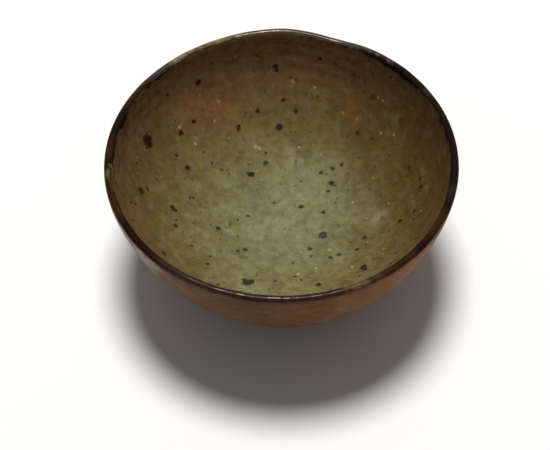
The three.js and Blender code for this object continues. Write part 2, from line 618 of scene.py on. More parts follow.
@dataclass
class ThrownPiece:
    """What every piece of the bowl shares: a section, turned round the axis and marked by the hand.

    Attributes:
        name: The piece's name.
        slot: The name of the material slot that the piece stands for; the script doesn't read it.
        node: The CAD node that it stands for.
        closed: Whether its section closes on itself, rather than on the axis.
        glazed: Whether it is a glaze, whose finish follows the lip's iron.
        marks: Its throwing marks.
        waves: Lobes, share and turn of each wave in its glaze line.
        section: The bowl's section.
        kiln: What the firing left on the bowl.
        segments: Steps round the axis.
        waver: How far the glaze line wavers up and down.
        crease: The turn between two faces, in radians, from which the edge between them is sharp.
    """

    name: ClassVar[str] = ""
    slot: ClassVar[str] = ""
    node: ClassVar[str] = ""
    closed: ClassVar[bool] = True
    glazed: ClassVar[bool] = True
    marks: ClassVar[ThrowingMarks]
    waves: ClassVar[tuple[tuple[int, float, float], ...]] = ((3, 1.0, 0.7), (7, 0.6, 0.0))

    section: ThrownSection
    kiln: Kiln
    segments: int = 300
    waver: float = 0.0
    crease: float = 0.9

    def corners(self) -> list[Corner]:
        """Gives the section's corners in order."""
        raise NotImplementedError

    def measures(self, corner: Corner, bearing: float) -> dict[Mark, float]:
        """Gives the marks that a vertex carries for its finish.

        Args:
            corner: The corner of the section that it was turned from.
            bearing: Degrees round the bowl.

        Returns:
            Each mark's value.
        """
        measures = {Mark.DEPTH: self.section.face_depth(corner.distance)}
        if self.glazed:
            inside = corner.distance > self.section.lip_top
            flow = self.kiln.iron_inside if inside else self.kiln.iron_outside
            measures |= flow.measures(bearing)
        return measures

    def build(self, material: bpy.types.Material) -> None:
        """Turns the section, shapes it, dresses it and fixes it to the bowl.

        Args:
            material: The piece's finish.
        """
        corners = self.corners()
        mesh = self._turned(corners)
        self._shape(mesh, corners)
        bmesh.ops.recalc_face_normals(mesh, faces=mesh.faces)
        for face in mesh.faces:
            face.smooth = True
        for edge in mesh.edges:
            edge.smooth = edge.calc_face_angle(0.0) < self.crease
        data = bpy.data.meshes.new(self.name)
        mesh.to_mesh(data)
        mesh.free()
        data.materials.append(material)
        piece = placed(self.name, data)
        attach(piece, "root")
        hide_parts(self.node)
        LOG.info("%s: %d faces, finish %s", self.name, len(data.polygons), material.name)

    def _turned(self, corners: Sequence[Corner]) -> bmesh.types.BMesh:
        """Spins the section round the axis, each vertex keeping its corner's number.

        Args:
            corners: The section's corners in order.

        Returns:
            The turned mesh.
        """
        mesh = bmesh.new()
        number = mesh.verts.layers.int.new("corner")
        ring = []
        for i, corner in enumerate(corners):
            vertex = mesh.verts.new((corner.place.x * MM, 0, corner.place.y * MM))
            vertex[number] = i
            ring.append(vertex)
        ends = ring + ring[:1] if self.closed else ring
        edges = [mesh.edges.new(pair) for pair in zip(ends, ends[1:])]
        bmesh.ops.spin(
            mesh,
            geom=ring + edges,
            cent=(0, 0, 0),
            axis=(0, 0, 1),
            angle=math.tau,
            steps=self.segments,
            use_merge=True,
            use_duplicate=False,
        )
        bmesh.ops.remove_doubles(mesh, verts=mesh.verts, dist=ONE_POINT * MM)
        return mesh

    def _shape(self, mesh: bmesh.types.BMesh, corners: Sequence[Corner]) -> None:
        """Moves each vertex to its thrown place and gives it its marks.

        Args:
            mesh: The turned mesh.
            corners: The section's corners.
        """
        first = self.measures(corners[0], 0.0)
        layers = {mark: mesh.verts.layers.float.new(mark.value) for mark in first}
        number = mesh.verts.layers.int["corner"]
        for vertex in mesh.verts:
            corner = corners[vertex[number]]
            bearing = math.degrees(math.atan2(vertex.co.y, vertex.co.x))
            place = corner.place.copy()
            if corner.relief:
                height = self.marks.height(corner.distance, vertex.co, bearing)
                place += corner.outwards * corner.relief * height
            if corner.slide:
                up = Vector((-corner.outwards.y, corner.outwards.x))
                place += up * corner.slide * self._wavering(bearing)
            vertex.co = self.section.wandered(place, bearing)
            for mark, value in self.measures(corner, bearing).items():
                vertex[layers[mark]] = value
        mesh.verts.layers.int.remove(number)

    def _wavering(self, bearing: float) -> float:
        """Gives how far the glaze line lies above its mean at a bearing."""
        turn = math.radians(bearing)
        return self.waver * sum(share * math.sin(lobes * turn + start) for lobes, share, start in self.waves)


@dataclass
class Lining(ThrownPiece):
    """The ash glaze inside the bowl, from under the lip to the middle of the floor.

    Attributes:
        settled: How far below its edge the lining takes the whole of the throwing marks.
        face_steps: Steps down the face.
        back_steps: Steps down the side against the clay.
    """

    name: ClassVar[str] = "inner_ash_glaze"
    slot: ClassVar[str] = "inner_glaze"
    node: ClassVar[str] = "inner_glaze"
    closed: ClassVar[bool] = False
    marks: ClassVar[ThrowingMarks] = ThrowingMarks(5.2, 0.045, 15.0, 0.14, 3.0)

    settled: float = 3.0
    face_steps: int = 160
    back_steps: int = 24

    def corners(self) -> list[Corner]:
        """Walks out along the back, and in again over the face.

        Returns:
            The section's corners in order.
        """
        section = self.section
        start = section.below_lip_top(section.band_inside)
        length = section.end - start
        back = [
            section.corner(section.end - length * i / self.back_steps, section.clearance)
            for i in range(self.back_steps + 1)
        ]
        face = []
        for i in range(self.face_steps + 1):
            below = length * i / self.face_steps
            relief = smooth(below, 0.0, self.settled) * smooth(length - below, 0.0, self.settled)
            face.append(section.corner(start + below, section.face, relief))
        return back + face


@dataclass
class LipBand(ThrownPiece):
    """The iron glaze over the lip.

    Attributes:
        settled: The share of its face, from each edge, over which the throwing marks come in.
        face_steps: Steps over the face.
    """

    name: ClassVar[str] = "iron_lip_band"
    slot: ClassVar[str] = "iron_rim"
    node: ClassVar[str] = "rim_band"
    marks: ClassVar[ThrowingMarks] = ThrowingMarks(30.0, 0.0, 7.0, 0.16, 7.0)

    settled: float = 0.2
    face_steps: int = 28
    segments: int = 480

    def corners(self) -> list[Corner]:
        """Walks over the face and back along the side against the clay.

        Returns:
            The section's corners in order.
        """
        section = self.section
        start = section.below_lip_top(-section.band_outside)
        length = section.below_lip_top(section.band_inside) - start
        face = []
        back = []
        for i in range(self.face_steps + 1):
            share = i / self.face_steps
            relief = smooth(share, 0.0, self.settled) * smooth(1 - share, 0.0, self.settled)
            face.append(section.corner(start + length * share, section.face, relief))
            back.append(section.corner(start + length * (1 - share), section.clearance))
        return face + back


@dataclass
class OuterCoat(ThrownPiece):
    """The ash glaze outside the bowl, from the glaze line above the foot up to the iron band.

    Attributes:
        bare_clay: Up the wall from the foot ring to the glaze line.
        gap: Between the coat and the band, along the line.
        roll: How far above its lower edge the glaze has its whole thickness.
        bluntness: How far below that edge its roll would come to nothing.
        settled: How far from its edges the coat takes the whole of the throwing marks.
        face_steps: Steps up the face.
        back_steps: Steps up the side against the clay.
    """

    name: ClassVar[str] = "outer_ash_glaze"
    slot: ClassVar[str] = "outer_glaze"
    node: ClassVar[str] = "outer_glaze"
    marks: ClassVar[ThrowingMarks] = ThrowingMarks(5.6, 0.06, 18.0, 0.16, 11.0)

    bare_clay: float = 8.0
    gap: float = 0.02
    roll: float = 0.8
    bluntness: float = 0.3
    settled: float = 3.0
    face_steps: int = 110
    back_steps: int = 16
    waver: float = 0.7

    def corners(self) -> list[Corner]:
        """Walks up the face and back down the side against the clay.

        Returns:
            The section's corners in order.
        """
        section = self.section
        start = self.bare_clay
        length = section.below_lip_top(-section.band_outside) - self.gap - start
        face = []
        for i in range(self.face_steps + 1):
            up = length * i / self.face_steps
            thickness = section.coat * math.sqrt(smooth(up, -self.bluntness, self.roll))
            relief = smooth(up, 0.0, self.settled) * smooth(length - up, 0.0, self.settled)
            slide = 1 - smooth(up, 0.0, length / 2)
            face.append(section.corner(start + up, section.clearance + thickness, relief, slide))
        back = []
        for i in range(self.back_steps + 1):
            up = length * (1 - i / self.back_steps)
            slide = 1 - smooth(up, 0.0, length / 2)
            back.append(section.corner(start + up, section.clearance, 0.0, slide))
        return face + back


@dataclass
class StonewareBody(ThrownPiece):
    """The thrown clay: the wall and floor under the glaze, bare at the foot.

    Attributes:
        skin: How far the clay is let out under the glaze, where the glaze leaves a clearance.
        bare_below: Up the wall from the foot, where the turned clay shows.
        easing: How far up the wall the skin comes in, and over how far the throwing marks go out.
        calm: How far from the axis the underside takes the whole of the throwing marks.
        underside_steps: Steps from the axis to the foot.
        wall_steps: Steps up the outer face.
        lip_steps: Steps round the lip.
        inner_steps: Steps down the inner face.
    """

    name: ClassVar[str] = "stoneware_body"
    slot: ClassVar[str] = "bare_clay"
    node: ClassVar[str] = "clay_body"
    closed: ClassVar[bool] = False
    glazed: ClassVar[bool] = False
    marks: ClassVar[ThrowingMarks] = ThrowingMarks(2.6, 0.09, 7.0, 0.12, 17.0)

    skin: float = 0.25
    bare_below: float = 9.0
    easing: float = 3.0
    calm: float = 4.0
    underside_steps: int = 30
    wall_steps: int = 90
    lip_steps: int = 8
    inner_steps: int = 40
    segments: int = 240

    def corners(self) -> list[Corner]:
        """Walks out under the foot, up the wall, over the lip and in to the middle of the floor.

        Returns:
            The section's corners in order.
        """
        section = self.section
        corners = []
        for i in range(self.underside_steps):
            radius = section.foot_radius * i / self.underside_steps
            relief = smooth(radius, 0.0, self.calm)
            corners.append(Corner(Vector((radius, section.foot_height)), Vector((0, -1)), -radius, relief))
        stretches = (
            (0.0, section.lip_start, self.wall_steps),
            (section.lip_start, section.lip_end, self.lip_steps),
            (section.lip_end, section.end, self.inner_steps),
        )
        for start, end, steps in stretches:
            for i in range(0 if start == 0 else 1, steps + 1):
                distance = start + (end - start) * i / steps
                raised = self.skin * smooth(distance, 0.0, self.easing)
                relief = 1 - smooth(distance, self.bare_below - self.easing, self.bare_below)
                corners.append(section.corner(distance, raised, relief))
        return corners


@dataclass
class TurnedFoot(ThrownPiece):
    """The foot ring: luted on and turned, with soft corners.

    Attributes:
        width: Across the flat that stands on the table.
        taper: How much the ring draws in from its top to the table.
        chamfer: Round the outside of the flat.
        inner_chamfer: Round the inside of the flat.
        fillet: How far below the top the ring spreads into the underside.
        let_in: How far the top reaches up to close the joint with the underside.
        step: Between two corners.
        fewest_steps: The fewest steps in a side of the section.
        marked: The heights above the table where the throwing marks start and are whole.
        joint: How far below the top they start to go out again.
    """

    name: ClassVar[str] = "turned_foot_ring"
    slot: ClassVar[str] = "foot_clay"
    node: ClassVar[str] = "foot_ring"
    glazed: ClassVar[bool] = False
    marks: ClassVar[ThrowingMarks] = ThrowingMarks(1.9, 0.06, 5.0, 0.12, 23.0)

    width: float = 4.6
    taper: float = 1.4
    chamfer: float = 0.8
    inner_chamfer: float = 0.7
    fillet: float = 1.1
    let_in: float = 0.1
    step: float = 0.35
    fewest_steps: int = 2
    marked: tuple[float, float] = (0.2, 1.5)
    joint: float = 1.0
    segments: int = 240

    def corners(self) -> list[Corner]:
        """Walks round the ring's section, from the inside of its flat.

        Returns:
            The section's corners in order.
        """
        top = self.section.foot_height + self.let_in
        outside = self.section.foot_radius
        standing = outside - self.taper
        inside = standing - self.width
        outline = [
            Vector((inside + self.inner_chamfer, 0)),
            Vector((standing - self.chamfer, 0)),
            Vector((standing, self.chamfer)),
            Vector((outside - self.fillet / 4, top - self.fillet)),
            Vector((outside, top)),
            Vector((inside - self.taper, top)),
            Vector((inside - self.taper + self.fillet / 4, top - self.fillet)),
            Vector((inside, self.inner_chamfer)),
        ]
        middle = (inside + standing) / 2
        corners = []
        for a, b in zip(outline, outline[1:] + outline[:1]):
            steps = max(self.fewest_steps, round((b - a).length / self.step))
            for i in range(steps):
                place = a.lerp(b, i / steps)
                outwards = Vector((math.copysign(1.0, place.x - middle), 0))
                relief = smooth(place.y, *self.marked) * smooth(top - place.y, 0.0, self.joint)
                corners.append(Corner(place, outwards, place.y, relief))
        return corners


def add(
    tree: Tree, kind: Kind, inputs: dict[int | str, Any], output: int | str = 0, **settings: Any
) -> Socket:
    """Adds a shader node with its settings and links.

    Args:
        tree: The node tree to add to.
        kind: The kind of node.
        inputs: Input name or number to the value that it holds, or to the socket that feeds it.
        output: The name or number of the output that is wanted.
        settings: The node's own properties.

    Returns:
        The wanted output.
    """
    node = tree.nodes.new(kind.value)
    for name, value in settings.items():
        setattr(node, name, value)
    for key, value in inputs.items():
        if isinstance(value, Socket):
            tree.links.new(value, node.inputs[key])
        else:
            node.inputs[key].default_value = value
    return node.outputs[output]


@dataclass(frozen=True)
class Texture:
    """A noise in the glaze or the clay.

    Attributes:
        size: About how large its features are.
        detail: How many finer octaves it has.
        roughness: How strong they are.
    """

    size: float
    detail: float = 4.0
    roughness: float = 0.6

    def on(self, place: Socket) -> dict[str, Any]:
        """Gives the inputs of a node that lays the noise on some coordinates."""
        scale = 1 / (self.size * MM)
        return {"Vector": place, "Scale": scale, "Detail": self.detail, "Roughness": self.roughness}


def torn(tree: Tree, place: Socket, size: float, reach: float) -> Socket:
    """Pushes places about, so that what is drawn on them gets a ragged edge.

    Args:
        tree: The node tree to add to.
        place: The coordinates to push.
        size: How large the rags are.
        reach: How far a place can be pushed.

    Returns:
        The pushed coordinates.
    """
    push = add(tree, Kind.NOISE, Texture(size, 3.0).on(place), "Color")
    centred = add(tree, Kind.VECTOR_MATH, {0: push, 1: (0.5, 0.5, 0.5)}, operation="SUBTRACT")
    scale = (2 * reach * MM,) * 3
    return add(tree, Kind.VECTOR_MATH, {0: centred, 1: scale, 2: place}, operation="MULTIPLY_ADD")


def blotted(
    tree: Tree, place: Socket, section: ThrownSection, blots: Sequence[Blot], strength: float, soft: float
) -> Socket:
    """Draws blots.

    Args:
        tree: The node tree to add to.
        place: The coordinates to draw them on.
        section: The bowl's section.
        blots: Where they lie.
        strength: The share in their middles.
        soft: The share of a blot's radius over which it fades, to each side of its edge.

    Returns:
        Their share, from 0 to their strength.
    """
    nearest: Any = FAR
    for bearing, depth, across in blots:
        centre = section.wandered(section.corner(section.lip_top + depth, section.face).place, bearing)
        away = add(tree, Kind.VECTOR_MATH, {0: place, 1: centre}, "Value", operation="DISTANCE")
        radii = add(tree, Kind.MATH, {0: away, 1: 2 / (across * MM)}, operation="MULTIPLY")
        nearest = add(tree, Kind.MATH, {0: nearest, 1: radii}, operation="MINIMUM")
    inputs = {"Value": nearest, "From Min": 1 + soft, "From Max": 1 - soft, "To Max": strength}
    return add(tree, Kind.RANGE, inputs, **EASED)


@dataclass(frozen=True)
class Specks:
    """Small specks at random places, at most one in a cell of their grid.

    Attributes:
        colour: Six hex digits.
        strength: How much of the glaze's own colour they hide.
        spacing: Between the cells' middles.
        share: The share of the cells that may have one.
        largest: The largest radius.
        seed: Where in the pattern the piece lies, in metres.
        least: The radius of the smallest, as a share of the largest; there is none where it is below 0.
        edge: Where a speck starts to show and where it is whole, inwards from its edge, as such shares.
    """

    colour: str
    strength: float
    spacing: float
    share: float
    largest: float
    seed: float
    least: float = -0.25
    edge: tuple[float, float] = (-0.2, 0.45)

    def drawn(self, tree: Tree, place: Socket) -> Socket:
        """Draws the specks.

        Args:
            tree: The node tree to add to.
            place: The coordinates to draw them on.

        Returns:
            The share of their colour, from 0 to their strength.
        """
        moved = add(tree, Kind.VECTOR_MATH, {0: place, 1: (self.seed,) * 3}, operation="ADD")
        cell = add(tree, Kind.CELLS, {"Vector": moved, "Scale": 1 / (self.spacing * MM)}, "Color")
        luck = add(tree, Kind.CHANNELS, {0: cell})
        largest = self.largest / self.spacing
        least = self.least * largest
        inputs = {"Value": luck, "From Min": 1 - self.share, "To Min": least, "To Max": largest}
        radius = add(tree, Kind.RANGE, inputs, "Result")
        inside = add(tree, Kind.MATH, {0: radius, 1: cell.node.outputs["Distance"]}, operation="SUBTRACT")
        start, whole = (share * largest for share in self.edge)
        inputs = {"Value": inside, "From Min": start, "From Max": whole, "To Max": self.strength}
        return add(tree, Kind.RANGE, inputs, **EASED)


@dataclass(frozen=True)
class Patches:
    """Soft patches of another colour at random places.

    Attributes:
        colour: Six hex digits.
        strength: How much of the glaze's own colour they hide where they are thickest.
        size: About how large they are.
        start: The noise's value where they begin.
        full: Its value where they are thickest.
        seed: Where in the noise the piece lies, in metres.
    """

    colour: str
    strength: float
    size: float
    start: float
    full: float
    seed: float

    def drawn(self, tree: Tree, place: Socket) -> Socket:
        """Draws the patches.

        Args:
            tree: The node tree to add to.
            place: The coordinates to draw them on.

        Returns:
            The share of their colour, from 0 to their strength.
        """
        moved = add(tree, Kind.VECTOR_MATH, {0: place, 1: (self.seed,) * 3}, operation="ADD")
        clouds = add(tree, Kind.NOISE, Texture(self.size).on(moved))
        inputs = {"Value": clouds, "From Min": self.start, "From Max": self.full, "To Max": self.strength}
        return add(tree, Kind.RANGE, inputs, **EASED)


def varied(
    tree: Tree,
    colour: Socket,
    lightness: Sequence[tuple[Socket, float]],
    strength: Sequence[tuple[Socket, float]] = (),
) -> Socket:
    """Varies a colour's lightness and strength by some noises, which leave it as it is where they are 0.5.

    Args:
        tree: The node tree to add to.
        colour: The colour.
        lightness: Each noise, and how much it lightens the colour where it is 1.
        strength: Each noise, and how much it strengthens the colour where it is 1.

    Returns:
        The varied colour.
    """
    inputs = {"Color": colour}
    for name, swings in (("Value", lightness), ("Saturation", strength)):
        value: Any = 1 - sum(swing for _, swing in swings)
        for texture, swing in swings:
            value = add(tree, Kind.MATH, {0: texture, 1: 2 * swing, 2: value}, operation="MULTIPLY_ADD")
        inputs[name] = value
    return add(tree, Kind.VARIED, inputs)


def painted(tree: Tree, ground: Any, coats: Sequence[tuple[Socket, str]]) -> Socket:
    """Lays colours over a ground, one after another.

    Args:
        tree: The node tree to add to.
        ground: The colour below.
        coats: The share and the hex colour of each coat.

    Returns:
        The colour on top.
    """
    for share, colour in coats:
        inputs = {SHARE: share, UNDER: ground, OVER: linear(colour)}
        ground = add(tree, Kind.MIX, inputs, LAID, data_type="RGBA")
    return ground


def graded(tree: Tree, distance: Socket, stops: Sequence[tuple[float, str]]) -> Socket:
    """Grades a colour over a distance.

    Args:
        tree: The node tree to add to.
        distance: Where to look.
        stops: Distance and hex colour, nearest first.

    Returns:
        The colour there.
    """
    reach = stops[-1][0]
    share = add(tree, Kind.MATH, {0: distance, 1: reach}, operation="DIVIDE")
    colour = add(tree, Kind.RAMP, {"Fac": share})
    elements = colour.node.color_ramp.elements
    while len(elements) < len(stops):
        elements.new(0.5)
    for element, (position, hex_colour) in zip(elements, stops):
        element.position = position / reach
        element.color = linear(hex_colour)
    return colour


def iron_run(tree: Tree, place: Socket, depth: Socket) -> Socket:
    """Finds where the lip's iron lies, with feathers that hang straight down from it.

    Args:
        tree: The node tree to add to.
        place: Object coordinates.
        depth: The depth below the lip.

    Returns:
        How far above the iron's lower edge a place is.
    """
    level = add(tree, Kind.VECTOR_MATH, {0: place, 1: (1.0, 1.0, 0.0)}, operation="MULTIPLY")
    bearing = add(tree, Kind.VECTOR_MATH, {0: level}, operation="NORMALIZE")
    inputs = {"Vector": bearing, "Scale": FEATHERS, "Detail": 3.0, "Roughness": 0.6}
    hanging = add(tree, Kind.NOISE, inputs)
    centred = add(tree, Kind.MATH, {0: hanging, 1: 0.5}, operation="SUBTRACT")
    longest = add(tree, Kind.ATTRIBUTE, {}, "Fac", attribute_name=Mark.IRON_FEATHERS.value)
    feathers = add(tree, Kind.MATH, {0: centred, 1: longest}, operation="MULTIPLY")
    reach = add(tree, Kind.ATTRIBUTE, {}, "Fac", attribute_name=Mark.IRON_REACH.value)
    edge = add(tree, Kind.MATH, {0: feathers, 1: FEATHER_SWING, 2: reach}, operation="MULTIPLY_ADD")
    return add(tree, Kind.MATH, {0: edge, 1: depth}, operation="SUBTRACT")


def relief(tree: Tree, shader: bpy.types.Node, height: Socket, depth: float) -> None:
    """Gives a finish its fine unevenness.

    Args:
        tree: The node tree to add to.
        shader: The finish's shader.
        height: The height, from 0 to 1.
        depth: How deep the unevenness is.
    """
    normal = add(tree, Kind.BUMP, {"Height": height, "Strength": 1.0, "Distance": depth * MM})
    tree.links.new(normal, shader.inputs["Normal"])


@dataclass(frozen=True)
class Finish:
    """What every finish shares.

    Attributes:
        name: The real material and how its surface was made.
        roughness: The shader's roughness.
        sheen: The shader's specular level, where 0.5 is a clean glass's.
    """

    name: str
    roughness: float
    sheen: float

    def material(self) -> bpy.types.Material:
        """Makes the material.

        Returns:
            The material.
        """
        material = bpy.data.materials.new(self.name)
        material.use_nodes = True
        tree = material.node_tree
        shader = tree.nodes["Principled BSDF"]
        shader.inputs["Roughness"].default_value = self.roughness
        shader.inputs["Specular IOR Level"].default_value = self.sheen
        self.paint(tree, shader, add(tree, Kind.PLACE, {}, "Object"))
        return material

    def paint(self, tree: Tree, shader: bpy.types.Node, place: Socket) -> None:
        """Adds the finish's own nodes to its shader."""
        raise NotImplementedError


@dataclass(frozen=True)
class AshGlaze(Finish):
    """Wood-ash glaze fired in reduction over iron-bearing clay.

    It is satin. Where it lies thin, high on the wall, the brown of the clay comes through, and where it has
    run together, low in the bowl, it is a thick grey-green. Everywhere it is mottled between the two.

    Attributes:
        section: The bowl's section, which places the blots.
        stops: Depth below the lip, and the colour there.
        washes: Broad soft layers.
        patches: The mottle's other colours.
        specks: Random specks.
        grit: Single spots and flecks.
        clouds: The large clouds in the glaze.
        mottle: The small ones.
        grain: The finest ones, which also stand in relief.
        tints: The clouds by which the glaze's colour weakens and strengthens.
        shifts: The clouds by which the stops shift up and down.
        clouding: How much the large clouds lighten and darken the glaze.
        mottling: How much the small ones do.
        graining: How much the finest ones do.
        tinting: How much the glaze's colour weakens and strengthens.
        shifting: How far the stops shift in all.
        drift: How large the rags in the washes' edges are, and how far they reach.
        raggedness: The same for the specks and the grit.
        iron: The lip's iron where it has run down.
        iron_edge: Its thin edge.
        iron_reach: Where the iron starts and where it is whole, above its lower edge.
        edge_reach: The same for its thin edge.
        edge_strength: How much of the glaze's own colour that edge hides.
        iron_roughness: The roughness where the iron lies.
        grain_depth: How deep the grain's relief is.
    """

    section: ThrownSection
    stops: tuple[tuple[float, str], ...]
    washes: tuple[Layer, ...]
    patches: tuple[Patches, ...]
    specks: tuple[Specks, ...]
    grit: tuple[Layer, ...]
    clouds: Texture = Texture(11.0)
    mottle: Texture = Texture(2.8)
    grain: Texture = Texture(0.8, 3.0, 0.7)
    tints: Texture = Texture(4.6, 4.0, 0.65)
    shifts: Texture = Texture(6.0)
    clouding: float = 0.36
    mottling: float = 0.48
    graining: float = 0.12
    tinting: float = 0.28
    shifting: float = 50.0
    drift: tuple[float, float] = (8.0, 9.0)
    raggedness: tuple[float, float] = (1.3, 0.9)
    iron: str = "1a100b"
    iron_edge: str = "3b2414"
    iron_reach: tuple[float, float] = (-0.3, 0.7)
    edge_reach: tuple[float, float] = (-1.0, 0.2)
    edge_strength: float = 0.8
    iron_roughness: float = 0.3
    grain_depth: float = 0.02

    def paint(self, tree: Tree, shader: bpy.types.Node, place: Socket) -> None:
        """Adds the graded ground, its mottle, the washes, the specks, the grit and the iron.

        Args:
            tree: The material's node tree.
            shader: Its shader.
            place: Object coordinates.
        """
        depth = add(tree, Kind.ATTRIBUTE, {}, "Fac", attribute_name=Mark.DEPTH.value)
        clouds = add(tree, Kind.NOISE, self.clouds.on(place))
        mottle = add(tree, Kind.NOISE, self.mottle.on(place))
        grain = add(tree, Kind.NOISE, self.grain.on(place))
        drifting = torn(tree, place, *self.drift)
        washes = [layer.drawn(tree, drifting, self.section) for layer in self.washes]
        colour = painted(tree, graded(tree, self._grade(tree, drifting, depth), self.stops), washes)
        patches = [(patch.drawn(tree, place), patch.colour) for patch in self.patches]
        colour = painted(tree, colour, patches)
        tint = add(tree, Kind.NOISE, self.tints.on(drifting))
        lightness = ((clouds, self.clouding), (mottle, self.mottling), (grain, self.graining))
        colour = varied(tree, colour, lightness, ((tint, self.tinting),))
        ragged = torn(tree, place, *self.raggedness)
        grit = [(specks.drawn(tree, ragged), specks.colour) for specks in self.specks]
        grit += [layer.drawn(tree, ragged, self.section) for layer in self.grit]
        colour = painted(tree, colour, grit)
        above = iron_run(tree, place, depth)
        start, whole = self.edge_reach
        inputs = {"Value": above, "From Min": start, "From Max": whole, "To Max": self.edge_strength}
        edge = add(tree, Kind.RANGE, inputs, **EASED)
        start, whole = self.iron_reach
        inputs = {"Value": above, "From Min": start, "From Max": whole}
        iron = add(tree, Kind.RANGE, inputs, **EASED)
        colour = painted(tree, colour, ((edge, self.iron_edge), (iron, self.iron)))
        tree.links.new(colour, shader.inputs["Base Color"])
        inputs = {"Value": iron, "To Min": self.roughness, "To Max": self.iron_roughness}
        tree.links.new(add(tree, Kind.RANGE, inputs, "Result"), shader.inputs["Roughness"])
        relief(tree, shader, grain, self.grain_depth)

    def _grade(self, tree: Tree, place: Socket, depth: Socket) -> Socket:
        """Gives what the ground is graded by: the depth, shifted by clouds.

        Args:
            tree: The material's node tree.
            place: The coordinates to read.
            depth: The depth below the lip.

        Returns:
            The measure that the stops are given in.
        """
        shift = add(tree, Kind.NOISE, self.shifts.on(place))
        moved = add(tree, Kind.MATH, {0: shift, 1: self.shifting, 2: depth}, operation="MULTIPLY_ADD")
        return add(tree, Kind.MATH, {0: moved, 1: self.shifting / 2}, operation="SUBTRACT")


@dataclass(frozen=True)
class ToneAndSheenAshGlaze(AshGlaze):
    """The same glaze outside, thin and toasted brown, and graded from left to right: paler at the left,
    partly its own tone and partly painted reflection of the pale surround.

    Its stops are distances from the left of the rim.
    """

    def _grade(self, tree: Tree, place: Socket, depth: Socket) -> Socket:
        """Gives what the ground is graded by: the way from left to right.

        Args:
            tree: The material's node tree.
            place: The coordinates to read.
            depth: The depth below the lip, which this glaze doesn't follow.

        Returns:
            The measure that the stops are given in.
        """
        scale = (1 / MM, 0.0, 0.0)
        left = (self.section.rim_radius, 0.0, 0.0)
        across = add(tree, Kind.VECTOR_MATH, {0: place, 1: scale, 2: left}, operation="MULTIPLY_ADD")
        return add(tree, Kind.VECTOR_MATH, {0: across}, "Value", operation="LENGTH")


